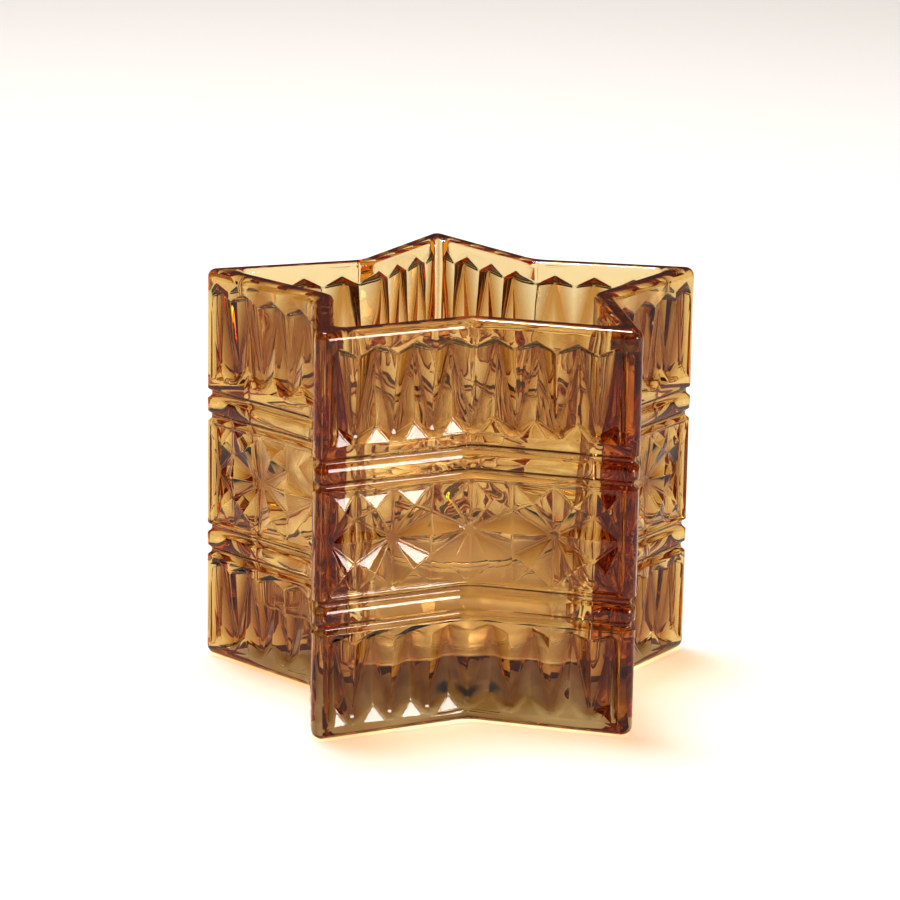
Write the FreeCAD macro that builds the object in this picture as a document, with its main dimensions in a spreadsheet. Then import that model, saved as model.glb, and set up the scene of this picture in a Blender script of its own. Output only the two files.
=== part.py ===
import FreeCAD, Part
import os
import re
from math import cos, radians, sin

import Sketcher
from FreeCAD import Vector

# A five-pointed star tealight holder in pressed glass, with the tealight that stands in it.
# Millimetres. +Z is up, one point of the star is along +Y, and the origin is the centre of
# the star's underside.

DIMENSIONS = {
    # the star's outline, seen from above
    "height": 70.0,
    "tip_centre": 43.0,  # from the axis to the centre of a point's rounding
    "tip_rounding": 1.8,
    "tip_half_angle": 32.8,
    # the well: its wall is thicker at the floor, for the draft that a pressing needs
    "rim_wall": 3.4,
    "floor_wall": 4.4,
    "floor_thickness": 10.5,
    "well_rounding": 2.0,
    "well_floor_round": 1.5,
    # rounded edges of the foot and the rim
    "foot_round": 1.7,
    "rim_round": 1.4,
    "rim_inner_round": 0.8,
    # two beads run round the star, each between two grooves
    "groove_depth": 0.75,
    "groove_width": 1.9,
    "bead_width": 2.2,
    "upper_bead": 45.8,
    "lower_bead": 21.4,
    # the tealight's cup
    "cup_radius": 19.0,
    "cup_height": 15.0,
    "cup_wall": 0.5,
    "cup_lip": 0.5,
    "cup_lip_height": 0.8,
    "cup_foot_round": 1.5,
    # its wax, wick and sustainer, which are loose of each other by the fit gap
    "fit_gap": 0.05,
    "wax_depth": 12.4,
    "wax_rise": 0.5,  # where the wax climbs the cup's wall
    "wick_radius": 0.85,
    "wick_length": 18.0,
    "sustainer_radius": 6.5,
    "sustainer_thickness": 0.35,
    "neck_radius": 1.6,
    "neck_height": 3.6,
}

POINTS = 5
SECTOR_ANGLE = 360.0 / POINTS
ROUND_STEPS = (0, 30, 60, 90)  # degrees round the quarter circle of a rounded edge

# Geometry of a sketch that every sketch has, and the places on an edge
ORIGIN, X_AXIS, Y_AXIS = -1, -1, -2
START, END, CENTRE = 1, 2, 3

doc = FreeCAD.newDocument("star_tealight_holder")

sheet = doc.addObject("Spreadsheet::Sheet", "sizes")
for row, (alias, number) in enumerate(DIMENSIONS.items(), start=1):
    sheet.set(f"A{row}", alias)
    sheet.set(f"B{row}", str(number))
    sheet.setAlias(f"B{row}", alias)
doc.recompute()


def in_sheet(formula):
    """The formula with every size's name pointing at its cell."""
    names = "|".join(DIMENSIONS)
    return re.sub(rf"\b({names})\b", r"sizes.\1", formula)


def number_of(formula):
    return float(sheet.evalExpression(in_sheet(formula)))


def bind(sketch, constraint, formula):
    """Adds a constraint whose value follows the sheet."""
    index = sketch.addConstraint(constraint)
    sketch.setExpression(f"Constraints[{index}]", in_sheet(formula))


def new_body(label, lift=None):
    body = doc.addObject("PartDesign::Body", label)
    body.Label = label
    if lift:
        body.setExpression("Placement.Base.z", in_sheet(lift))
    return body


def of_origin(body, role):
    return next(item for item in body.Origin.OriginFeatures if item.Role == role)


def new_sketch(body, name, role, lift=None):
    sketch = body.newObject("Sketcher::SketchObject", name)
    sketch.AttachmentSupport = [(of_origin(body, role), "")]
    sketch.MapMode = "FlatFace"
    if lift:
        sketch.setExpression("AttachmentOffset.Base.z", in_sheet(lift))
    return sketch


# ---------------------------------------------------------------- the glass star


def clockwise_from_y(distance, angle):
    return Vector(distance * sin(radians(angle)), distance * cos(radians(angle)), 0)


def star_point_sketch(body, name, lift, centre, rounding):
    """One fifth of a star's outline: a kite from the axis to one rounded point, on +Y.

    The walls are tangent to the rounding and lean by the tip's half angle, so a smaller
    rounding about the same centre moves both walls in evenly.
    """
    half = number_of("tip_half_angle")
    radius = number_of(rounding)
    middle = Vector(0, number_of(centre), 0)
    touch_right = middle + clockwise_from_y(radius, 90 - half)
    touch_left = middle + clockwise_from_y(radius, half - 90)
    corner_right = clockwise_from_y(middle.y * 0.6, SECTOR_ANGLE / 2)
    corner_left = clockwise_from_y(middle.y * 0.6, -SECTOR_ANGLE / 2)
    axis = Vector(0, 0, 0)
    circle = Part.Circle(middle, Vector(0, 0, 1), radius)

    sketch = new_sketch(body, name, "XY_Plane", lift)
    right_seam = sketch.addGeometry(Part.LineSegment(axis, corner_right))
    right_wall = sketch.addGeometry(Part.LineSegment(corner_right, touch_right))
    tip = sketch.addGeometry(Part.ArcOfCircle(circle, radians(half), radians(180 - half)))
    left_wall = sketch.addGeometry(Part.LineSegment(touch_left, corner_left))
    left_seam = sketch.addGeometry(Part.LineSegment(corner_left, axis))
    sketch.addConstraint([
        Sketcher.Constraint("Coincident", right_seam, START, ORIGIN, START),
        Sketcher.Constraint("Coincident", left_seam, END, ORIGIN, START),
        Sketcher.Constraint("Coincident", right_seam, END, right_wall, START),
        Sketcher.Constraint("Coincident", left_wall, END, left_seam, START),
        Sketcher.Constraint("Tangent", right_wall, END, tip, START),
        Sketcher.Constraint("Tangent", tip, END, left_wall, START),
        Sketcher.Constraint("PointOnObject", tip, CENTRE, Y_AXIS),
        Sketcher.Constraint("Symmetric", right_wall, START, left_wall, END, Y_AXIS),
        Sketcher.Constraint(
            "Angle", right_seam, START, left_seam, END, radians(SECTOR_ANGLE)
        ),
    ])
    bind(
        sketch,
        Sketcher.Constraint("Angle", left_wall, START, right_wall, END, radians(2 * half)),
        "2 * tip_half_angle",
    )
    bind(
        sketch,
        Sketcher.Constraint("DistanceY", ORIGIN, START, tip, CENTRE, middle.y),
        centre,
    )
    bind(sketch, Sketcher.Constraint("Radius", tip, radius), rounding)
    return sketch


def outer_sections():
    """(height, inset) of the outside from foot to rim, as formulas."""
    sections = []
    for angle in reversed(ROUND_STEPS):
        lift = f"foot_round * (1 - sin({angle}))"
        sections.append((lift, f"foot_round * (1 - cos({angle}))"))
    for bead in ("lower_bead", "upper_bead"):
        for side in ("-", "+"):
            groove = f"{bead} {side} (bead_width + groove_width) / 2"
            sections.append((f"{groove} - groove_width / 2", "0"))
            sections.append((f"{groove} - groove_width / 6", "groove_depth"))
            sections.append((f"{groove} + groove_width / 6", "groove_depth"))
            sections.append((f"{groove} + groove_width / 2", "0"))
    for angle in ROUND_STEPS:
        lift = f"height - rim_round * (1 - sin({angle}))"
        sections.append((lift, f"rim_round * (1 - cos({angle}))"))
    return sections


def well_sections():
    """(height, wall thickness) of the well from its floor to the rim, as formulas."""
    sections = []
    for angle in reversed(ROUND_STEPS):
        lift = f"floor_thickness + well_floor_round * (1 - sin({angle}))"
        sections.append((lift, f"floor_wall + well_floor_round * (1 - cos({angle}))"))
    for angle in ROUND_STEPS:
        lift = f"height - rim_inner_round * (1 - sin({angle}))"
        sections.append((lift, f"rim_wall - rim_inner_round * (1 - cos({angle}))"))
    return sections


def loft(body, kind, name, sketches):
    feature = body.newObject(f"PartDesign::{kind}Loft", name)
    feature.Profile = sketches[0]
    feature.Sections = sketches[1:]
    feature.Ruled = True
    return feature


def all_round(body, name, feature):
    """The feature repeated for every point of the star."""
    pattern = body.newObject("PartDesign::PolarPattern", name)
    pattern.Originals = [feature]
    pattern.Axis = (of_origin(body, "Z_Axis"), [""])
    pattern.Angle = 360
    pattern.Occurrences = POINTS
    body.Tip = pattern
    return pattern


def make_star_glass():
    body = new_body("star_glass")
    outside = [
        star_point_sketch(
            body, f"outside_{index}", lift, "tip_centre", f"tip_rounding - ({inset})"
        )
        for index, (lift, inset) in enumerate(outer_sections())
    ]
    star_point = loft(body, "Additive", "star_point", outside)
    all_round(body, "star", star_point)
    doc.recompute()
    solid_star = body.Shape.Volume

    inside = [
        star_point_sketch(
            body,
            f"inside_{index}",
            lift,
            f"tip_centre + (tip_rounding - ({wall}) - well_rounding) / sin(tip_half_angle)",
            "well_rounding",
        )
        for index, (lift, wall) in enumerate(well_sections())
    ]
    well_point = loft(body, "Subtractive", "well_point", inside)
    all_round(body, "well", well_point)
    doc.recompute()
    glass = body.Shape.Volume
    print(f"star {solid_star:.0f} mm3, with its well cut {glass:.0f} mm3")
    if glass > 0.75 * solid_star:
        raise RuntimeError("the well did not cut the star")


# ---------------------------------------------------------------- the tealight


def revolve(label, outline):
    """A turned piece from its half section: (radius, height) formulas, in order round it."""
    body = new_body(label, "floor_thickness")
    sketch = new_sketch(body, f"{label}_section", "XZ_Plane")
    corners = [Vector(number_of(radius), number_of(lift), 0) for radius, lift in outline]
    for first, second in zip(corners, corners[1:] + corners[:1]):
        sketch.addGeometry(Part.LineSegment(first, second))
    for index, (radius, lift) in enumerate(outline):
        sketch.addConstraint(
            Sketcher.Constraint("Coincident", index - 1 if index else len(outline) - 1, END,
                                index, START)
        )
        corner = corners[index]
        if corner.x:
            bind(
                sketch,
                Sketcher.Constraint("DistanceX", ORIGIN, START, index, START, corner.x),
                radius,
            )
        else:
            sketch.addConstraint(Sketcher.Constraint("PointOnObject", index, START, Y_AXIS))
        if corner.y:
            bind(
                sketch,
                Sketcher.Constraint("DistanceY", ORIGIN, START, index, START, corner.y),
                lift,
            )
        else:
            sketch.addConstraint(Sketcher.Constraint("PointOnObject", index, START, X_AXIS))
    feature = body.newObject("PartDesign::Revolution", f"{label}_turned")
    feature.Profile = sketch
    feature.ReferenceAxis = (sketch, ["V_Axis"])
    feature.Angle = 360
    return body


CUP_OUTER = "(cup_radius - cup_lip)"
CUP_INNER = f"({CUP_OUTER} - cup_wall)"
WAX_OUTER = f"({CUP_INNER} - fit_gap)"
WAX_TOP = "(cup_wall + wax_depth)"
NECK_TOP = "(cup_wall + neck_height)"
SUSTAINER_TOP = "(cup_wall + sustainer_thickness)"
WICK_BORE = "(wick_radius + fit_gap)"


def make_tealight():
    revolve("tealight_cup", [
        ("0", "0"),
        (f"{CUP_OUTER} - cup_foot_round", "0"),
        (f"{CUP_OUTER} - 0.3 * cup_foot_round", "0.3 * cup_foot_round"),
        (CUP_OUTER, "cup_foot_round"),
        (CUP_OUTER, "cup_height - cup_lip_height"),
        ("cup_radius", "cup_height - 0.7 * cup_lip_height"),
        ("cup_radius", "cup_height"),
        (CUP_INNER, "cup_height"),
        (CUP_INNER, "cup_foot_round"),
        (f"{CUP_INNER} - cup_foot_round + cup_wall", "cup_wall"),
        ("0", "cup_wall"),
    ])
    revolve("tealight_wax", [
        ("sustainer_radius + fit_gap", "cup_wall"),
        (f"{WAX_OUTER} - cup_foot_round + cup_wall", "cup_wall"),
        (WAX_OUTER, "cup_foot_round"),
        (WAX_OUTER, f"{WAX_TOP} + wax_rise"),
        (f"{WAX_OUTER} - 2 * wax_rise", WAX_TOP),
        (WICK_BORE, WAX_TOP),
        (WICK_BORE, f"{NECK_TOP} + fit_gap"),
        ("neck_radius + fit_gap", f"{NECK_TOP} + fit_gap"),
        ("neck_radius + fit_gap", f"{SUSTAINER_TOP} + fit_gap"),
        ("sustainer_radius + fit_gap", f"{SUSTAINER_TOP} + fit_gap"),
    ])
    revolve("wick_sustainer", [
        (WICK_BORE, "cup_wall"),
        ("sustainer_radius", "cup_wall"),
        ("sustainer_radius", SUSTAINER_TOP),
        ("neck_radius", SUSTAINER_TOP),
        ("neck_radius", NECK_TOP),
        (WICK_BORE, NECK_TOP),
    ])
    revolve("tealight_wick", [
        ("0", "cup_wall"),
        ("wick_radius", "cup_wall"),
        ("wick_radius", "cup_wall + wick_length - wick_radius"),
        ("0.5 * wick_radius", "cup_wall + wick_length"),
        ("0", "cup_wall + wick_length"),
    ])


def export_pieces():
    """Checks every object of the document, then writes each piece to its own file."""
    doc.recompute()
    for item in doc.Objects:
        if "Invalid" in item.State or "Error" in item.State:
            raise RuntimeError(f"{item.Label} is {item.State}")
    bodies = [item for item in doc.Objects if item.TypeId == "PartDesign::Body"]
    for body in bodies:
        if body.Shape.isNull() or not body.Shape.isValid() or len(body.Shape.Solids) != 1:
            raise RuntimeError(f"{body.Label} is not one valid solid")
    os.makedirs("parts", exist_ok=True)
    for body in bodies:
        body.Shape.exportStep(f"parts/{body.Label}.step")
        box = body.Shape.BoundBox
        size = f"{box.XLength:.1f} x {box.YLength:.1f} x {box.ZLength:.1f} mm"
        print(f"{body.Label}: {size}, {body.Shape.Volume:.0f} mm3")


make_star_glass()
make_tealight()
export_pieces()
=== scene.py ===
"""A five-pointed star tealight holder in amber pressed glass, with a tealight in its well.

Shapes are worked out in millimetres, in the CAD frame, and turned into metres when each
piece is made. +Z is up and one point of the star is along +Y.
"""

import math

import bmesh
import bpy
from mathutils import Matrix, Vector, noise


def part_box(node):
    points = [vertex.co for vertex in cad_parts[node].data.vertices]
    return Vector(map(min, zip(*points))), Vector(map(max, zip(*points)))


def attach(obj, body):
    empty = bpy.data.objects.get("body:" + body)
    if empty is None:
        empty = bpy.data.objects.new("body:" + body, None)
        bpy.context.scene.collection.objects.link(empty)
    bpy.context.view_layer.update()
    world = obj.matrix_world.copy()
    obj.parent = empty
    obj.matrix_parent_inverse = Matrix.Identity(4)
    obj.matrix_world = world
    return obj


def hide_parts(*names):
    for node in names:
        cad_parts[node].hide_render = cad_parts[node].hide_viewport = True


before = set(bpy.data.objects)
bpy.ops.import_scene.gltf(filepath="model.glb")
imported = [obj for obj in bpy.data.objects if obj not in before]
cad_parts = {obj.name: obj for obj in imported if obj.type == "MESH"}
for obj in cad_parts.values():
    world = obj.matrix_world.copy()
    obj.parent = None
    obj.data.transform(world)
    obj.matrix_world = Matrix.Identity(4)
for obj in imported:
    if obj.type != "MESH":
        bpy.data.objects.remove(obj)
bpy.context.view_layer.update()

MM = 0.001

# ------------------------------------------------------------------ sizes of the star
POINTS = 5
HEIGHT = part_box("star_glass")[1].z / MM
TIP_CENTRE = 43.0
TIP_ROUNDING = 1.8
TIP_HALF_ANGLE = math.radians(32.8)
SEAM_ANGLE = math.radians(180 / POINTS)
RIM_WALL = 3.4
FLOOR_WALL = 4.4
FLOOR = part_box("tealight_cup")[0].z / MM
WELL_ROUNDING = 2.0  # in the well's points, at the rim
WELL_ROUNDING_LOW = 5.0  # and at the floor
WELL_FLOOR_ROUND = 1.5
NOTCH_ROUNDING = 4.5
FOOT_ROUND = 1.7
RIM_ROUND = 1.4
RIM_INNER_ROUND = 0.8
GROOVE_DEPTH = 0.75
GROOVE_WIDTH = 1.9
GROOVE_SHAPE = 2.4  # higher is flatter at the bottom
BEAD_WIDTH = 2.2
UPPER_BEAD = 45.8
LOWER_BEAD = 21.4

# where the wall's plane meets a point's middle plane, and the notch's corner
TIP_REACH = TIP_CENTRE + TIP_ROUNDING / math.sin(TIP_HALF_ANGLE)
NOTCH_REACH = TIP_REACH * math.sin(TIP_HALF_ANGLE) / math.sin(SEAM_ANGLE + TIP_HALF_ANGLE)
WALL_DIR = Vector((-math.sin(TIP_HALF_ANGLE), math.cos(TIP_HALF_ANGLE), 0))
WALL_IN = Vector((-math.cos(TIP_HALF_ANGLE), -math.sin(TIP_HALF_ANGLE), 0))
SEAM_DIR = Vector((math.sin(SEAM_ANGLE), math.cos(SEAM_ANGLE), 0))
NOTCH = SEAM_DIR * NOTCH_REACH
WALL_LENGTH = (Vector((0, TIP_REACH, 0)) - NOTCH).length
FLAT_LENGTH = WALL_LENGTH - TIP_ROUNDING / math.tan(TIP_HALF_ANGLE)
SEAM_LEAN = math.cos(SEAM_ANGLE + TIP_HALF_ANGLE) / math.sin(SEAM_ANGLE + TIP_HALF_ANGLE)

# ------------------------------------------------------------------ the pressed pattern
PANELS = 4
PANEL = 0.241 * WALL_LENGTH
EDGES = [index * PANEL for index in range(PANELS)] + [FLAT_LENGTH]
NOTCH_SOFTENING = 6.0  # radius that rounds the outside of a notch
NOTCH_SPREAD = math.sin(math.pi / 2 - SEAM_ANGLE - TIP_HALF_ANGLE)
NOTCH_COLUMNS = [NOTCH_SOFTENING * NOTCH_SPREAD * share for share in (0.35, 0.7, 1.05)]
LAND_LEAN = 0.65  # how far the upright land triangles lean in at the top
FOOT_GAP = 0.17  # half width of a valley's foot, in panels
FOOT_LIFT = 0.6  # how far above its foot a valley reaches its full depth
CUT = 1.6  # how deep the long facets are pressed
COLUMN_STEP = 0.8  # how far the last valley stays from a point's rounding
LOWER_BAND = {"foot": 2.3, "land": 5.4, "shoulder": 16.4, "peak": 17.9, "pit_drop": 0.9}
UPPER_BAND = {"foot": 50.6, "land": 53.4, "shoulder": 65.4, "peak": 67.2, "pit_drop": 1.0}
STAR_CUT = 1.5
STAR_CENTRE = 33.8
CROWN_AT = 0.63  # how far up a pyramid's crown is, from the star's middle to its end
KINDS = ("plain", "well", "facet", "land")

# ------------------------------------------------------------------ edges and unevenness
EDGE_SOFTNESS = 0.36  # half width of the rounding that fire polishing leaves on an edge
EDGE_ROLL = 0.16  # how far that rounding stands out
EDGE_SEGMENTS = 3
CREASE_ANGLE = math.radians(14)  # edges sharper than this are rounded
FLAT_ANGLE = math.radians(5)  # the others, down to this, are kept crisp
FLATNESS = 70  # weight of the larger faces in the normals
RIPPLE = 0.11
BROAD_RIPPLE, FINE_RIPPLE = 6.5, 2.6  # lengths
FINE_PLACE = Vector((31, 7, 19))
CORNER_REACH = 30.0  # the well's points are rippled more from here outward
UNSHADED_COAT = 0.5  # the lustre on the uncut wall, beside that in the deepest cuts, where it rises as painted shade

# ------------------------------------------------------------------ how finely round shapes are cut
TIP_STEPS = 6
ROUND_STEPS = 5
GROOVE_STEPS = 8
NOTCH_STEPS = 3
WELL_STEPS = 24
WELL_ROWS = 72
FLOOR_SHARES = (0.8, 0.6, 0.4, 0.2)
WELD, SLIVER = 0.004, 0.001


def softened(across):
    """How far a notch's rounding brings the wall outward, at a distance from its seam."""
    slope = NOTCH_SPREAD / math.sqrt(1 - NOTCH_SPREAD ** 2)
    if across >= NOTCH_SOFTENING * NOTCH_SPREAD:
        return 0.0
    top = NOTCH_SOFTENING * math.sqrt(1 + slope ** 2)
    return top - math.sqrt(NOTCH_SOFTENING ** 2 - across ** 2) - slope * across


def wall_point(along, z, depth=0.0):
    """A point on the outside, a distance along the wall from the notch and pressed in."""
    if along == 0:
        along = -SEAM_LEAN * depth
    point = NOTCH + WALL_DIR * along + WALL_IN * depth
    across = abs(point.x * SEAM_DIR.y - point.y * SEAM_DIR.x)
    point += SEAM_DIR * softened(across)
    return Vector((point.x, point.y, z))


def tip_point(step, z, depth=0.0):
    """A point on the column that rounds the star's point."""
    angle = TIP_HALF_ANGLE + (math.pi / 2 - TIP_HALF_ANGLE) * step / TIP_STEPS
    reach = TIP_ROUNDING - depth
    return Vector((reach * math.cos(angle), TIP_CENTRE + reach * math.sin(angle), z))


class Tenth:
    """Faces of one tenth of the star: from the middle plane of a point to a notch's seam."""

    def __init__(self):
        self.faces = []

    def add(self, points, kind):
        self.faces.append(([Vector(point) for point in points], kind))

    def strips(self, rings, kind):
        for lower, upper in zip(rings, rings[1:]):
            for index in range(len(lower) - 1):
                quad = [lower[index], lower[index + 1], upper[index + 1], upper[index]]
                self.add(quad, kind)


def ring_run(index, z):
    """The ring's corners along one panel's edge, from its left to its right."""
    stops = NOTCH_COLUMNS if index == 0 else []
    return [wall_point(along, z) for along in [EDGES[index], *stops, EDGES[index + 1]]]


def outer_ring(z, depth):
    """The outside's outline at one height, from the notch to the middle of the point."""
    wall = [wall_point(along, z, depth) for along in [0, *NOTCH_COLUMNS, *EDGES[1:]]]
    return wall + [tip_point(step, z, depth) for step in range(1, TIP_STEPS + 1)]


def quarter():
    """How far up and how far in, in radii, round a quarter circle from its flat end."""
    for step in range(ROUND_STEPS + 1):
        angle = math.pi / 2 * step / ROUND_STEPS
        yield 1 - math.cos(angle), 1 - math.sin(angle)


def groove_rings(centre):
    """A round-bottomed groove, as (z, depth)."""
    rings = []
    for step in range(GROOVE_STEPS + 1):
        share = step / GROOVE_STEPS * 2 - 1
        depth = GROOVE_DEPTH * (1 - abs(share) ** GROOVE_SHAPE)
        rings.append((centre + share * GROOVE_WIDTH / 2, depth))
    return rings


def bead_rings(centre):
    """Groove, bead, groove, as (z, depth)."""
    offset = (BEAD_WIDTH + GROOVE_WIDTH) / 2
    return groove_rings(centre - offset) + [(centre, 0.0)] + groove_rings(centre + offset)


def column_face(tenth, low, high, breaks):
    """The column's first face, which shares the pattern's corners along its edge."""
    edge = [wall_point(FLAT_LENGTH, z) for z in [low, *breaks, high]]
    tenth.add([*edge, tip_point(1, high), tip_point(1, low)][::-1], "facet")
    rings = []
    for z in (low, high):
        rings.append([tip_point(step, z) for step in range(1, TIP_STEPS + 1)])
    tenth.strips(rings, "plain")


def panel_band(tenth, low, high, foot, land, shoulder, peak, pit_drop):
    """Long kite-shaped facets. In each panel two valleys run from its deep peak down to its
    corners, with a ridge between them that ends on a small upright land triangle."""
    for index in range(PANELS):
        left, right = EDGES[index], EDGES[index + 1]
        middle = (index + 0.5) * PANEL
        last = index == PANELS - 1
        shoulder_left, shoulder_right = wall_point(left, shoulder), wall_point(right, shoulder)
        foot_left, foot_right = wall_point(left, foot), wall_point(right, foot)
        peak_top = wall_point(middle, peak)
        peak_deep = wall_point(middle, peak - pit_drop, CUT)
        land_top = wall_point(middle, land, LAND_LEAN)
        foot_gap = FOOT_GAP * PANEL
        land_left = wall_point(left + foot_gap, foot)
        land_right = wall_point(right - foot_gap, foot)
        deep = foot + FOOT_LIFT
        deep_left = wall_point(left, deep, CUT)
        deep_right = wall_point(right, deep, CUT)
        if last:
            deep_right = wall_point(right - COLUMN_STEP, deep, CUT)
            tenth.add([shoulder_right, deep_right, foot_right], "facet")
        upper_edge, lower_edge = ring_run(index, high)[::-1], ring_run(index, low)
        tenth.add([shoulder_left, peak_top, shoulder_right, *upper_edge], "facet")
        tenth.add([shoulder_left, peak_deep, peak_top], "facet")
        tenth.add([peak_top, peak_deep, shoulder_right], "facet")
        tenth.add([shoulder_left, deep_left, peak_deep], "facet")
        tenth.add([shoulder_right, peak_deep, deep_right], "facet")
        tenth.add([peak_deep, deep_left, land_top], "facet")
        tenth.add([peak_deep, land_top, deep_right], "facet")
        tenth.add([land_top, deep_left, land_left], "facet")
        tenth.add([land_left, deep_left, foot_left], "facet")
        tenth.add([land_top, land_right, deep_right], "facet")
        tenth.add([land_right, foot_right, deep_right], "facet")
        tenth.add([land_top, land_left, land_right], "land")
        tenth.add([land_left, foot_left, *lower_edge, foot_right, land_right], "facet")
    column_face(tenth, low, high, [foot, shoulder])


def star_band(tenth, low, high, centre):
    """Stars at the notch, the wall's middle and the point, with pyramids between their rays."""
    node_lift, border_drop, border_depth = 3.8, 0.35, 0.75
    node_depth, crown_depth, raised = 0.9, 0.12, 0.15
    for index in range(PANELS):
        left, right = EDGES[index], EDGES[index + 1]
        if index == PANELS - 1:
            right -= COLUMN_STEP
        star_at, node_at = (left, right) if index % 2 == 0 else (right, left)
        halfway = star_at + 0.5 * (node_at - star_at)
        star = wall_point(star_at, centre, STAR_CUT)
        lozenge_top = wall_point(node_at, centre, raised)
        for side, border in ((1, high), (-1, low)):
            reach = abs(border - centre) - border_drop
            star_end = wall_point(star_at, centre + side * reach, border_depth)
            corner = wall_point(node_at, centre + side * reach, border_depth)
            node = wall_point(node_at, centre + side * node_lift, node_depth)
            crown = wall_point(halfway, centre + side * reach * CROWN_AT, crown_depth)
            for triangle in (
                [star, crown, star_end],
                [star_end, crown, corner],
                [corner, crown, node],
                [node, crown, star],
                [star, node, lozenge_top],
            ):
                tenth.add(triangle, "facet")
            ledge = ring_run(index, border)
            if index % 2 == 0:
                tenth.add([*ledge, corner, star_end], "facet")
            else:
                tenth.add([*ledge, star_end, corner], "facet")
            if index == PANELS - 1:
                tenth.add([ledge[-1], star, star_end], "facet")
    edge = EDGES[-1]
    last_star = wall_point(edge - COLUMN_STEP, centre, STAR_CUT)
    tenth.add([wall_point(edge, low), wall_point(edge, high), last_star], "facet")
    column_face(tenth, low, high, [])


def well_ring(z, wall):
    """The well's outline for one wall thickness: notch rounding, flat wall, point rounding."""
    spread = math.sin(SEAM_ANGLE + TIP_HALF_ANGLE)
    corner = SEAM_DIR * (NOTCH_REACH - wall / spread)
    hub = corner + SEAM_DIR * (NOTCH_ROUNDING / spread)
    seam_turn = math.pi / 2 - SEAM_ANGLE - TIP_HALF_ANGLE
    points = []
    for step in range(NOTCH_STEPS + 1):
        turn = seam_turn * step / NOTCH_STEPS
        angle = math.pi * 1.5 - SEAM_ANGLE - turn
        points.append(hub + Vector((math.cos(angle), math.sin(angle), 0)) * NOTCH_ROUNDING)
    sunk = min(max((HEIGHT - z) / (HEIGHT - FLOOR), 0), 1)
    rounding = WELL_ROUNDING + (WELL_ROUNDING_LOW - WELL_ROUNDING) * sunk ** 0.5
    tip_reach = TIP_CENTRE + (TIP_ROUNDING - wall - rounding) / math.sin(TIP_HALF_ANGLE)
    bend = []
    for step in range(TIP_STEPS + 1):
        angle = TIP_HALF_ANGLE + (math.pi / 2 - TIP_HALF_ANGLE) * step / TIP_STEPS
        reach = Vector((math.cos(angle), math.sin(angle), 0)) * rounding
        bend.append(Vector((0, tip_reach, 0)) + reach)
    flat_start = points[-1]
    points += [flat_start.lerp(bend[0], step / WELL_STEPS) for step in range(1, WELL_STEPS)]
    points += bend
    return [Vector((point.x, point.y, z)) for point in points]


def build_tenth():
    """Every face of one tenth, from the underside up the wall, over the rim and down the well."""
    tenth = Tenth()
    foot = [(FOOT_ROUND * up, FOOT_ROUND * into) for up, into in quarter()]
    rings = [outer_ring(z, depth) for z, depth in foot]
    tenth.strips(rings, "plain")
    underside = rings[0]
    tenth.add([Vector((0, 0, 0)), *underside[::-1]], "well")

    lower, upper = bead_rings(LOWER_BEAD), bead_rings(UPPER_BEAD)
    tenth.strips([outer_ring(z, depth) for z, depth in lower], "plain")
    tenth.strips([outer_ring(z, depth) for z, depth in upper], "plain")
    rim_start = HEIGHT - RIM_ROUND
    panel_band(tenth, FOOT_ROUND, lower[0][0], **LOWER_BAND)
    star_band(tenth, lower[-1][0], upper[0][0], STAR_CENTRE)
    panel_band(tenth, upper[-1][0], rim_start, **UPPER_BAND)

    rim = [(HEIGHT - RIM_ROUND * up, RIM_ROUND * into) for up, into in quarter()][::-1]
    rings = [outer_ring(z, depth) for z, depth in rim]
    tenth.strips(rings, "plain")
    outer_top = rings[-1]

    top = [(HEIGHT - RIM_INNER_ROUND * up, RIM_WALL - RIM_INNER_ROUND * into)
           for up, into in quarter()]
    first, last = top[-1], (FLOOR + WELL_FLOOR_ROUND, FLOOR_WALL)
    side = []
    for row in range(1, WELL_ROWS):
        share = row / WELL_ROWS
        side.append([a + (b - a) * share for a, b in zip(first, last)])
    bottom = [(FLOOR + WELL_FLOOR_ROUND * up, FLOOR_WALL + WELL_FLOOR_ROUND * into)
              for up, into in quarter()][::-1]
    rings = [well_ring(z, wall) for z, wall in [*top, *side, *bottom]]
    tenth.strips(rings, "well")
    tenth.add([*outer_top, *rings[0][::-1]], "plain")
    floor_rings = [rings[-1]]
    for share in FLOOR_SHARES:
        floor_rings.append([Vector((p.x * share, p.y * share, p.z)) for p in rings[-1]])
    tenth.strips(floor_rings, "well")
    middle = Vector((0, 0, FLOOR))
    for a, b in zip(floor_rings[-1], floor_rings[-1][1:]):
        tenth.add([middle, a, b], "well")
    return tenth


def whole_star(tenth):
    """The tenth mirrored and turned into the whole star, as one closed mesh."""
    bm = bmesh.new()
    layer = bm.faces.layers.int.new("kind")
    mirror = Matrix.Diagonal((-1, 1, 1))
    for turn in range(POINTS):
        spin = Matrix.Rotation(2 * math.pi * turn / POINTS, 3, "Z")
        for points, kind in tenth.faces:
            for matrix in (spin, spin @ mirror):
                corners = [bm.verts.new(matrix @ point) for point in points]
                face = bm.faces.new(corners)
                face[layer] = KINDS.index(kind)
    bmesh.ops.remove_doubles(bm, verts=bm.verts, dist=WELD)
    bmesh.ops.dissolve_degenerate(bm, edges=bm.edges, dist=SLIVER)
    bmesh.ops.recalc_face_normals(bm, faces=bm.faces)
    return bm, layer


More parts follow.
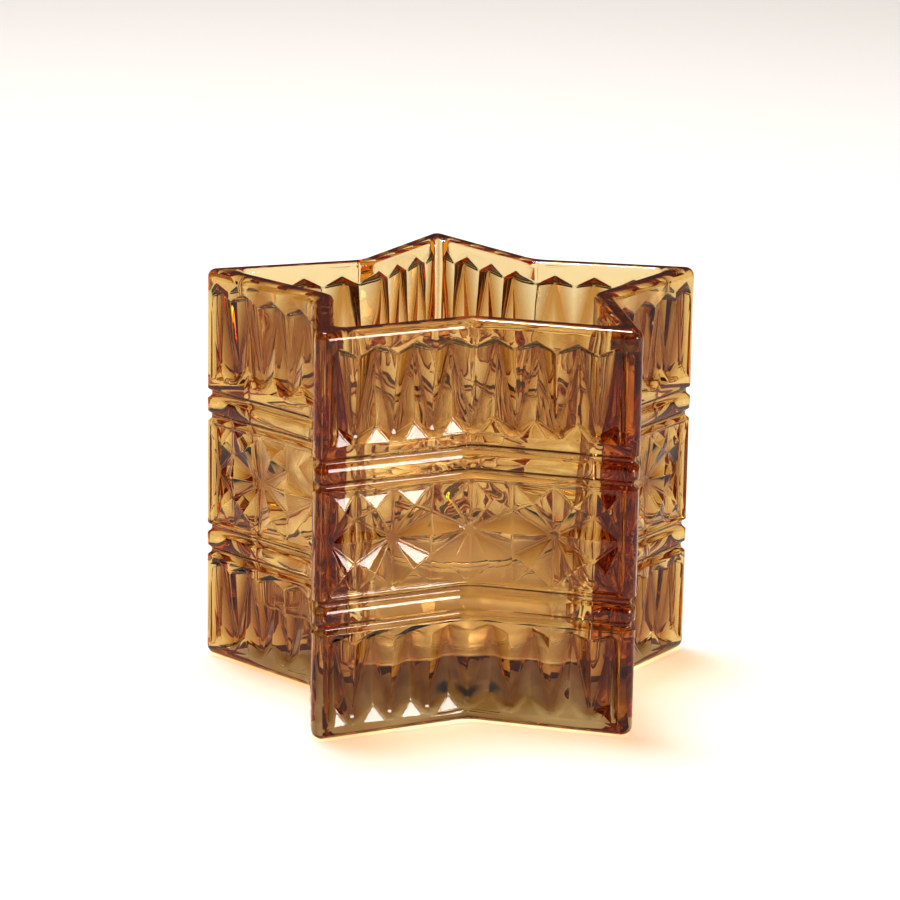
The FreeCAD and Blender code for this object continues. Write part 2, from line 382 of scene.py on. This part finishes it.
def ripple_well(bm, layer):
    """The uneven surface a plunger leaves in the well, strongest in its corners."""
    well = KINDS.index("well")
    bm.normal_update()
    moves = []
    for vert in bm.verts:
        inside = all(face[layer] == well for face in vert.link_faces)
        if vert.co.z < FLOOR + WELL_FLOOR_ROUND or not inside:
            continue
        reach_out = math.hypot(vert.co.x, vert.co.y)
        corner = smooth_step(CORNER_REACH, CORNER_REACH + 4.0, reach_out)
        corner += smooth_step(NOTCH_REACH + 1.0, NOTCH_REACH - 3.0, reach_out)
        fade = smooth_step(FLOOR + WELL_FLOOR_ROUND, FLOOR + 6.0, vert.co.z)
        fade *= smooth_step(HEIGHT - RIM_INNER_ROUND, HEIGHT - 4.0, vert.co.z)
        broad = noise.noise(vert.co / BROAD_RIPPLE) * RIPPLE
        fine = noise.noise(vert.co / FINE_RIPPLE + FINE_PLACE) * RIPPLE * corner
        moves.append((vert, vert.normal * (broad + fine) * fade))
    for vert, move in moves:
        vert.co += move


def smooth_step(low, high, value):
    share = min(max((value - low) / (high - low), 0), 1)
    return share * share * (3 - 2 * share)


def amber_and_shade_at(point):
    """How strong the lustre is at a point of the outside: even on the uncut wall, and darker as
    painted shade where the glass is cut in.
    """
    turn = math.atan2(point.x, point.y) % (2 * SEAM_ANGLE)
    turn = min(turn, 2 * SEAM_ANGLE - turn)
    out = math.hypot(point.x, point.y)
    folded = Vector((out * math.sin(turn), out * math.cos(turn), 0))
    pressed = (folded - NOTCH).dot(WALL_IN)
    # painted shade: the lustre rises with how deep the glass is pressed in
    return UNSHADED_COAT + (1 - UNSHADED_COAT) * smooth_step(0.1, 0.9 * CUT, pressed)


def star_glass():
    """The whole star: its creases rounded, its well rippled, its lustre and the painted shade in
    its cuts written to the mesh.
    """
    bm, layer = whole_star(build_tenth())
    well, facet, land = (KINDS.index(kind) for kind in ("well", "facet", "land"))
    creases = [
        edge for edge in bm.edges
        if len(edge.link_faces) == 2
        and any(face[layer] >= facet for face in edge.link_faces)
        and edge.calc_face_angle(0) > CREASE_ANGLE
    ]
    ripple_well(bm, layer)
    made = bmesh.ops.bevel(bm, geom=creases, offset=EDGE_SOFTNESS, offset_type="OFFSET",
                           segments=EDGE_SEGMENTS, profile=0.5, affect="EDGES",
                           clamp_overlap=False)
    rolls = set(made["faces"])
    bm.normal_update()
    for edge in bm.edges:
        flats = [face[layer] for face in edge.link_faces if face not in rolls]
        if land in flats:
            edge.smooth = False
        elif len(flats) == 2 and facet in flats and edge.calc_face_angle(0) > FLAT_ANGLE:
            edge.smooth = False
    crests = [vert for vert in made["verts"] if all(face in rolls for face in vert.link_faces)]
    moves = [(vert, vert.normal * EDGE_ROLL) for vert in crests]
    for vert, move in moves:
        vert.co += move
    # the amber lustre of each corner, with painted shade where the glass is cut in; the well gets
    # none
    corner_amber_and_shade = []
    for face in bm.faces:
        corner_amber_and_shade += [0.0 if face[layer] == well else amber_and_shade_at(vert.co) for vert in face.verts]
    mesh = bpy.data.meshes.new("star_glass_body")
    low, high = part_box("star_glass")
    for vert in bm.verts:
        vert.co = [min(max(c * MM, a), b) for c, a, b in zip(vert.co, low, high)]
    bm.to_mesh(mesh)
    bm.free()
    mesh.attributes.new("amber_with_painted_shade", "FLOAT", "CORNER").data.foreach_set("value", corner_amber_and_shade)
    mesh.shade_smooth()
    piece = bpy.data.objects.new("pressed_glass_star", mesh)
    bpy.context.scene.collection.objects.link(piece)
    weighted = piece.modifiers.new("flat_facets", "WEIGHTED_NORMAL")
    weighted.weight = FLATNESS
    weighted.keep_sharp = True
    return piece


glass = star_glass()
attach(glass, "holder")
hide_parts("star_glass")


# ------------------------------------------------------------------ tealight
def reach(node):
    """A round piece's radius and its lowest and highest z, in millimetres."""
    low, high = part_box(node)
    return high.x / MM, low.z / MM, high.z / MM


CUP_LIP_RADIUS, CUP_BOTTOM, CUP_TOP = reach("tealight_cup")
WAX_RADIUS, WAX_BOTTOM, WAX_EDGE = reach("tealight_wax")
WICK_RADIUS, WICK_BOTTOM, WICK_TOP = reach("tealight_wick")
TIN_RADIUS, TIN_BOTTOM, TIN_TOP = reach("wick_sustainer")
CUP_WALL = 0.5
CUP_LIP = 0.4  # radius of the rolled lip
CUP_OUTER = CUP_LIP_RADIUS - 0.5
CUP_INNER = CUP_OUTER - CUP_WALL
CUP_FOOT = 1.5
CUP_RECESS = 0.25  # the dish in the cup's underside
CUP_STAND = (11.0, 11.6)  # where that dish ends and the ring it stands on begins
WAX_DIP = 0.5  # how far the wax lies below its edge
WICK_ROWS = 90
WICK_LAY = 1.9  # turn of the braid, in radians to the millimetre
WICK_LOBES = 0.22
BURNT_FROM, BURNT_THIN = 0.94, 0.35  # share of its height where the wick is burnt, and how thin
TIN_PLATE = 0.35
TIN_EDGE = 0.17
TIN_RING = (4.6, 4.9, 5.2)  # the groove pressed into the sustainer's plate
NECK_RADIUS = 1.6
NECK_FILLET = 0.5
NECK_CRIMP = 0.1
CRIMP_FROM, CRIMP_MIDDLE = 1.4, 2.4  # above the sustainer's underside
FIT_GAP = 0.05
TURNED_FLATNESS = 60  # weight of the larger faces in a turned piece's normals


def arc(centre, radius, start, end, steps=6):
    """Points (r, z) round part of a circle; angles in degrees from the outward direction."""
    points = []
    for step in range(steps + 1):
        angle = math.radians(start + (end - start) * step / steps)
        points.append((centre[0] + radius * math.cos(angle), centre[1] + radius * math.sin(angle)))
    return points


def lathe(name, profile, body, node, segments=96, shape=None, closed=False):
    """A turned piece. shape(angle, r, z) may press or twist it out of round."""
    bm = bmesh.new()
    rings = []
    for r, z in profile:
        if r == 0:
            rings.append([bm.verts.new((0, 0, z * MM))])
            continue
        ring = []
        for index in range(segments):
            angle = 2 * math.pi * index / segments
            reach_here = shape(angle, r, z) if shape else r
            corner = (reach_here * math.cos(angle), reach_here * math.sin(angle), z)
            ring.append(bm.verts.new(Vector(corner) * MM))
        rings.append(ring)
    pairs = list(zip(rings, rings[1:]))
    if closed:
        pairs.append((rings[-1], rings[0]))
    for lower, upper in pairs:
        for index in range(segments):
            after = (index + 1) % segments
            corners = [lower[index % len(lower)], lower[after % len(lower)],
                       upper[after % len(upper)], upper[index % len(upper)]]
            bm.faces.new(list(dict.fromkeys(corners)))
    bmesh.ops.recalc_face_normals(bm, faces=bm.faces)
    mesh = bpy.data.meshes.new(name)
    bm.to_mesh(mesh)
    bm.free()
    mesh.shade_smooth()
    piece = bpy.data.objects.new(name, mesh)
    bpy.context.scene.collection.objects.link(piece)
    smooth = piece.modifiers.new("crisp_faces", "WEIGHTED_NORMAL")
    smooth.weight = TURNED_FLATNESS
    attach(piece, body)
    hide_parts(node)
    return piece


def cup():
    dish = CUP_BOTTOM + CUP_RECESS
    profile = [(0, dish), (CUP_STAND[0], dish), (CUP_STAND[1], CUP_BOTTOM)]
    profile += arc((CUP_OUTER - CUP_FOOT, CUP_BOTTOM + CUP_FOOT), CUP_FOOT, -90, 0)
    profile += [(CUP_OUTER, CUP_TOP - 0.8)]
    profile += arc((CUP_LIP_RADIUS - CUP_LIP, CUP_TOP - CUP_LIP), CUP_LIP, -90, 90, 8)
    profile += arc((CUP_INNER + 0.25, CUP_TOP - 0.25), 0.25, 90, 180, 4)
    inner = CUP_FOOT - CUP_WALL
    floor = CUP_BOTTOM + CUP_WALL
    profile += arc((CUP_INNER - inner, floor + inner), inner, 0, -90)
    profile += [(0, floor)]
    return lathe("clear_cup", profile, "tealight", "tealight_cup", 128)


def wax():
    hole, neck = WICK_RADIUS + FIT_GAP, NECK_RADIUS + FIT_GAP
    top = WAX_EDGE - WAX_DIP
    plate_top = TIN_BOTTOM + TIN_PLATE + FIT_GAP
    neck_top = TIN_TOP + FIT_GAP
    foot = CUP_FOOT - CUP_WALL
    profile = [(hole, neck_top), (hole, top + 0.1), (hole + 0.5, top - 0.12), (3.0, top - 0.2)]
    profile += [(6.0, top - 0.14), (10.0, top - 0.08), (14.0, top), (16.4, top + 0.08)]
    profile += [(17.3, top + 0.22), (WAX_RADIUS - 0.2, top + 0.38), (WAX_RADIUS, WAX_EDGE)]
    profile += arc((WAX_RADIUS - foot, WAX_BOTTOM + foot), foot, 0, -90)
    profile += [(TIN_RADIUS + FIT_GAP, WAX_BOTTOM), (TIN_RADIUS + FIT_GAP, plate_top)]
    profile += [(neck, plate_top), (neck, neck_top)]
    return lathe("honey_wax", profile, "tealight", "tealight_wax", 128, closed=True)


def wick():
    def braid(angle, r, z):
        turn = (z - WICK_BOTTOM) * WICK_LAY
        strands = [abs(math.cos(1.5 * (angle + way * turn))) for way in (1, -1)]
        return r * (1 - WICK_LOBES + WICK_LOBES * sum(strands) / 2)

    profile = [(0, WICK_BOTTOM)]
    for row in range(WICK_ROWS + 1):
        share = row / WICK_ROWS
        burnt = max(0, share - BURNT_FROM) / (1 - BURNT_FROM)
        z = WICK_BOTTOM + (WICK_TOP - WICK_BOTTOM) * share
        profile.append((WICK_RADIUS * (1 - BURNT_THIN * burnt ** 2), z))
    profile.append((0, WICK_TOP - 0.12))
    return lathe("braided_wick", profile, "tealight", "tealight_wick", 36, braid)


def sustainer():
    def crimp(angle, r, z):
        if z < TIN_BOTTOM + CRIMP_FROM or r > NECK_RADIUS:
            return r
        return r * (1 - NECK_CRIMP * math.cos(2 * angle) ** 4)

    bore = WICK_RADIUS + FIT_GAP
    low, plate = TIN_BOTTOM, TIN_BOTTOM + TIN_PLATE
    inner, middle, outer = TIN_RING
    fillet = NECK_RADIUS + NECK_FILLET
    profile = [(bore + 0.1, low), (inner, low), (middle, low + 0.08), (outer, low)]
    profile += arc((TIN_RADIUS - TIN_EDGE, low + TIN_PLATE / 2), TIN_EDGE, -90, 90, 6)
    profile += [(outer, plate), (middle, plate - 0.1), (inner, plate), (fillet, plate)]
    profile += arc((fillet, plate + NECK_FILLET), NECK_FILLET, -90, -180, 4)[1:]
    for z in (low + CRIMP_FROM, low + CRIMP_MIDDLE, TIN_TOP - 0.15):
        profile.append((NECK_RADIUS, z))
    profile += [(NECK_RADIUS - 0.12, TIN_TOP), (bore + 0.25, TIN_TOP)]
    profile += [(bore + 0.15, TIN_TOP - 0.2)]
    return lathe("crimped_sustainer", profile, "tealight", "wick_sustainer", 64,
                 crimp, closed=True)


# ------------------------------------------------------------------ materials
GLASS_IOR = 1.5
GLASS_TINT = (0.70, 0.50, 0.25)
GLASS_DENSITY = 28.0
GLASS_SHADOW = (0.95, 0.90, 0.82)
# the tints of the lustre on the uncut wall and in the deepest cuts, for light that passes and for
# light thrown back; the darker tints in the cuts are painted shade
AMBER_AND_SHADE_TINTS = (0.87, 0.74, 0.45), (0.52, 0.29, 0.08)
THROWN_BACK = (0.88, 0.47, 0.08), (0.68, 0.28, 0.03)
WAX_COLOURS = (0.70, 0.55, 0.33), (0.80, 0.66, 0.44)
WAX_SHADOW = (0.86, 0.78, 0.62)
WICK_COLOURS = (0.62, 0.56, 0.45), (0.90, 0.86, 0.76)
TIN_COLOURS = (0.70, 0.70, 0.68), (0.82, 0.82, 0.80)


def shaded(name, **values):
    """A new material with its shader's sockets set, and the parts other nodes need."""
    material = bpy.data.materials.new(name)
    material.use_nodes = True
    nodes, links = material.node_tree.nodes, material.node_tree.links
    shader = nodes["Principled BSDF"]
    for socket, value in values.items():
        shader.inputs[socket.replace("_", " ")].default_value = value
    return material, nodes, links, shader


def let_lamps_through(nodes, links, colour):
    """Lets lamp light pass, so that the floor and the tealight under glass are lit."""
    path = nodes.new("ShaderNodeLightPath")
    clear = nodes.new("ShaderNodeBsdfTransparent")
    clear.inputs["Color"].default_value = (*colour, 1)
    mix = nodes.new("ShaderNodeMixShader")
    surface = nodes["Material Output"].inputs["Surface"]
    solid = surface.links[0].from_socket
    links.new(path.outputs["Is Shadow Ray"], mix.inputs[0])
    links.new(solid, mix.inputs[1])
    links.new(clear.outputs[0], mix.inputs[2])
    links.new(mix.outputs[0], surface)


def speckle(nodes, links, scale, detail=3.0):
    coords = nodes.new("ShaderNodeTexCoord")
    noise_node = nodes.new("ShaderNodeTexNoise")
    noise_node.inputs["Scale"].default_value = scale
    noise_node.inputs["Detail"].default_value = detail
    links.new(coords.outputs["Object"], noise_node.inputs["Vector"])
    return noise_node.outputs["Fac"]


def bumped(nodes, links, shader, height, strength, distance):
    bump = nodes.new("ShaderNodeBump")
    bump.inputs["Strength"].default_value = strength
    bump.inputs["Distance"].default_value = distance
    links.new(height, bump.inputs["Height"])
    links.new(bump.outputs[0], shader.inputs["Normal"])


def between(nodes, links, factor, shader, low, high):
    blend = nodes.new("ShaderNodeMix")
    blend.data_type = "RGBA"
    blend.inputs["A"].default_value = (*low, 1)
    blend.inputs["B"].default_value = (*high, 1)
    links.new(factor, blend.inputs["Factor"])
    links.new(blend.outputs["Result"], shader.inputs["Base Color"])


def cup_material():
    material, nodes, links, shader = shaded(
        "clear_polycarbonate", Base_Color=(0.97, 0.98, 0.98, 1), Roughness=0.04, IOR=1.45,
        Transmission_Weight=1.0)
    bumped(nodes, links, shader, speckle(nodes, links, 90.0), 0.05, 0.0003)
    let_lamps_through(nodes, links, (0.95, 0.95, 0.95))
    return material


def wax_material():
    material, nodes, links, shader = shaded(
        "honey_wax", Roughness=0.42, IOR=1.44, Transmission_Weight=0.8,
        Subsurface_Weight=0.2, Subsurface_Radius=(1.0, 0.6, 0.3), Subsurface_Scale=0.006)
    between(nodes, links, speckle(nodes, links, 160.0), shader, *WAX_COLOURS)
    bumped(nodes, links, shader, speckle(nodes, links, 260.0), 0.12, 0.0002)
    let_lamps_through(nodes, links, WAX_SHADOW)
    return material


def wick_material():
    material, nodes, links, shader = shaded("waxed_cotton", Roughness=0.85)
    between(nodes, links, speckle(nodes, links, 2500.0), shader, *WICK_COLOURS)
    bumped(nodes, links, shader, speckle(nodes, links, 3500.0), 0.5, 0.0001)
    return material


def tin_material():
    material, nodes, links, shader = shaded("tinplate", Metallic=1.0, Roughness=0.3)
    between(nodes, links, speckle(nodes, links, 600.0), shader, *TIN_COLOURS)
    bumped(nodes, links, shader, speckle(nodes, links, 900.0), 0.1, 0.0001)
    return material


def glass_material():
    """Clear glass with an amber lustre on its outside, painted darker in the cuts as painted shade.
    Light that is thrown back inside passes the lustre twice, so edges go dark."""
    material = bpy.data.materials.new("amber_lustre_glass")
    material.use_nodes = True
    nodes, links = material.node_tree.nodes, material.node_tree.links
    # the amber lustre, with painted shade in the cuts, read from the mesh
    amber_with_painted_shade = nodes.new("ShaderNodeAttribute")
    amber_with_painted_shade.attribute_name = "amber_with_painted_shade"

    def tint(uncut, cut_shaded):
        """White where there's no lustre, then the lustre's tint on the uncut wall, and a darker
        tint in the deepest cuts that is painted shade.
        """
        ramp = nodes.new("ShaderNodeValToRGB")
        ramp.color_ramp.elements[0].color = (1, 1, 1, 1)
        ramp.color_ramp.elements.new(UNSHADED_COAT).color = (*uncut, 1)
        ramp.color_ramp.elements[2].color = (*cut_shaded, 1)
        links.new(amber_with_painted_shade.outputs["Fac"], ramp.inputs["Fac"])
        return ramp.outputs["Color"]

    outside = nodes["Principled BSDF"]
    outside.inputs["Roughness"].default_value = 0.0
    outside.inputs["IOR"].default_value = GLASS_IOR
    outside.inputs["Transmission Weight"].default_value = 1.0
    outside.inputs["Specular IOR Level"].default_value = 0.25
    twice = [[part * part for part in colour] for colour in AMBER_AND_SHADE_TINTS]
    links.new(tint(*twice), outside.inputs["Base Color"])
    leaves = nodes.new("ShaderNodeBsdfRefraction")
    leaves.inputs["Roughness"].default_value = 0.0
    leaves.inputs["IOR"].default_value = GLASS_IOR
    links.new(tint(*AMBER_AND_SHADE_TINTS), leaves.inputs["Color"])
    thrown = nodes.new("ShaderNodeBsdfGlossy")
    thrown.inputs["Roughness"].default_value = 0.0
    links.new(tint(*THROWN_BACK), thrown.inputs["Color"])
    fresnel = nodes.new("ShaderNodeFresnel")
    fresnel.inputs["IOR"].default_value = GLASS_IOR
    inside = nodes.new("ShaderNodeMixShader")
    links.new(fresnel.outputs[0], inside.inputs[0])
    links.new(leaves.outputs[0], inside.inputs[1])
    links.new(thrown.outputs[0], inside.inputs[2])
    geometry = nodes.new("ShaderNodeNewGeometry")
    sides = nodes.new("ShaderNodeMixShader")
    links.new(geometry.outputs["Backfacing"], sides.inputs[0])
    links.new(outside.outputs[0], sides.inputs[1])
    links.new(inside.outputs[0], sides.inputs[2])
    volume = nodes.new("ShaderNodeVolumeAbsorption")
    volume.inputs["Color"].default_value = (*GLASS_TINT, 1)
    volume.inputs["Density"].default_value = GLASS_DENSITY
    links.new(volume.outputs[0], nodes["Material Output"].inputs["Volume"])
    links.new(sides.outputs[0], nodes["Material Output"].inputs["Surface"])
    let_lamps_through(nodes, links, GLASS_SHADOW)
    return material


glass.data.materials.append(glass_material())
for turned, made_of in (
    (cup, cup_material), (wax, wax_material), (wick, wick_material), (sustainer, tin_material)
):
    turned().data.materials.append(made_of())


# ------------------------------------------------------------------ stage, lamps and camera
FLOOR_RADIUS = 6.0
FLOOR_COLOUR = (0.86, 0.85, 0.84)
HORIZON, ZENITH = (0.02, 0.012, 0.006), (0.42, 0.38, 0.33)
ZENITH_FROM = 0.75
SKY_STRENGTH = 0.8
# each lamp's place, where it aims, its size and its power
SOFTBOXES = {
    "overhead": ((-0.15, 0.25, 1.3), (0.0, 0.1, 0.0), 0.35, 14),
    "window": ((0.92, -0.88, 0.24), (0.0, 0.0, 0.03), 0.4, 7),
}
LENS, SENSOR = 162.56, 36
SHIFT = (-0.00674, 0.03452)
AZIMUTH, ELEVATION, ROLL = math.radians(-5.625), math.radians(15.06), math.radians(1.02)
CAMERA_DISTANCE = 10.1 * HEIGHT * MM
EXPOSURE, GAMMA = 0.35, 0.8
LIGHT_BOUNCES, GLOSS_BOUNCES = 32, 16


def stage():
    floor_mesh = bpy.data.meshes.new("floor")
    bm = bmesh.new()
    bmesh.ops.create_circle(bm, cap_ends=True, segments=96, radius=FLOOR_RADIUS)
    bm.to_mesh(floor_mesh)
    bm.free()
    floor = bpy.data.objects.new("floor", floor_mesh)
    bpy.context.scene.collection.objects.link(floor)
    material = bpy.data.materials.new("pale_floor")
    material.use_nodes = True
    shader = material.node_tree.nodes["Principled BSDF"]
    shader.inputs["Base Color"].default_value = (*FLOOR_COLOUR, 1)
    shader.inputs["Roughness"].default_value = 0.9
    floor_mesh.materials.append(material)

    world = bpy.data.worlds.new("studio")
    bpy.context.scene.world = world
    world.use_nodes = True
    nodes, links = world.node_tree.nodes, world.node_tree.links
    coords = nodes.new("ShaderNodeTexCoord")
    split = nodes.new("ShaderNodeSeparateXYZ")
    ramp = nodes.new("ShaderNodeValToRGB")
    ramp.color_ramp.elements[0].position = 0.0
    ramp.color_ramp.elements[0].color = (*HORIZON, 1)
    ramp.color_ramp.elements[1].position = ZENITH_FROM
    ramp.color_ramp.elements[1].color = (*ZENITH, 1)
    links.new(coords.outputs["Generated"], split.inputs[0])
    links.new(split.outputs["Z"], ramp.inputs[0])
    links.new(ramp.outputs[0], nodes["Background"].inputs[0])
    nodes["Background"].inputs[1].default_value = SKY_STRENGTH

    for name, (place, aim_at, size, power) in SOFTBOXES.items():
        light = bpy.data.lights.new(name, "AREA")
        light.shape = "SQUARE"
        light.size = size
        light.energy = power
        lamp = bpy.data.objects.new(name, light)
        bpy.context.scene.collection.objects.link(lamp)
        lamp.location = place
        aim = Vector(aim_at) - Vector(place)
        lamp.rotation_euler = aim.to_track_quat("-Z", "Y").to_euler()


def camera():
    data = bpy.data.cameras.new("camera")
    data.lens, data.sensor_width = LENS, SENSOR
    data.shift_x, data.shift_y = SHIFT
    data.clip_start, data.clip_end = 0.01, 100
    eye = bpy.data.objects.new("camera", data)
    bpy.context.scene.collection.objects.link(eye)
    back = Vector((math.sin(AZIMUTH) * math.cos(ELEVATION),
                   -math.cos(AZIMUTH) * math.cos(ELEVATION), math.sin(ELEVATION)))
    eye.location = Vector((0, 0, HEIGHT * MM / 2)) + back * CAMERA_DISTANCE
    turn = (-back).to_track_quat("-Z", "Y").to_matrix() @ Matrix.Rotation(ROLL, 3, "Z")
    eye.rotation_euler = turn.to_euler()
    bpy.context.scene.camera = eye


stage()
camera()
scene = bpy.context.scene
scene.view_settings.view_transform = "Standard"
scene.view_settings.exposure = EXPOSURE
scene.view_settings.gamma = GAMMA
scene.cycles.max_bounces = LIGHT_BOUNCES
scene.cycles.transmission_bounces = LIGHT_BOUNCES
scene.cycles.glossy_bounces = GLOSS_BOUNCES
scene.cycles.transparent_max_bounces = LIGHT_BOUNCES
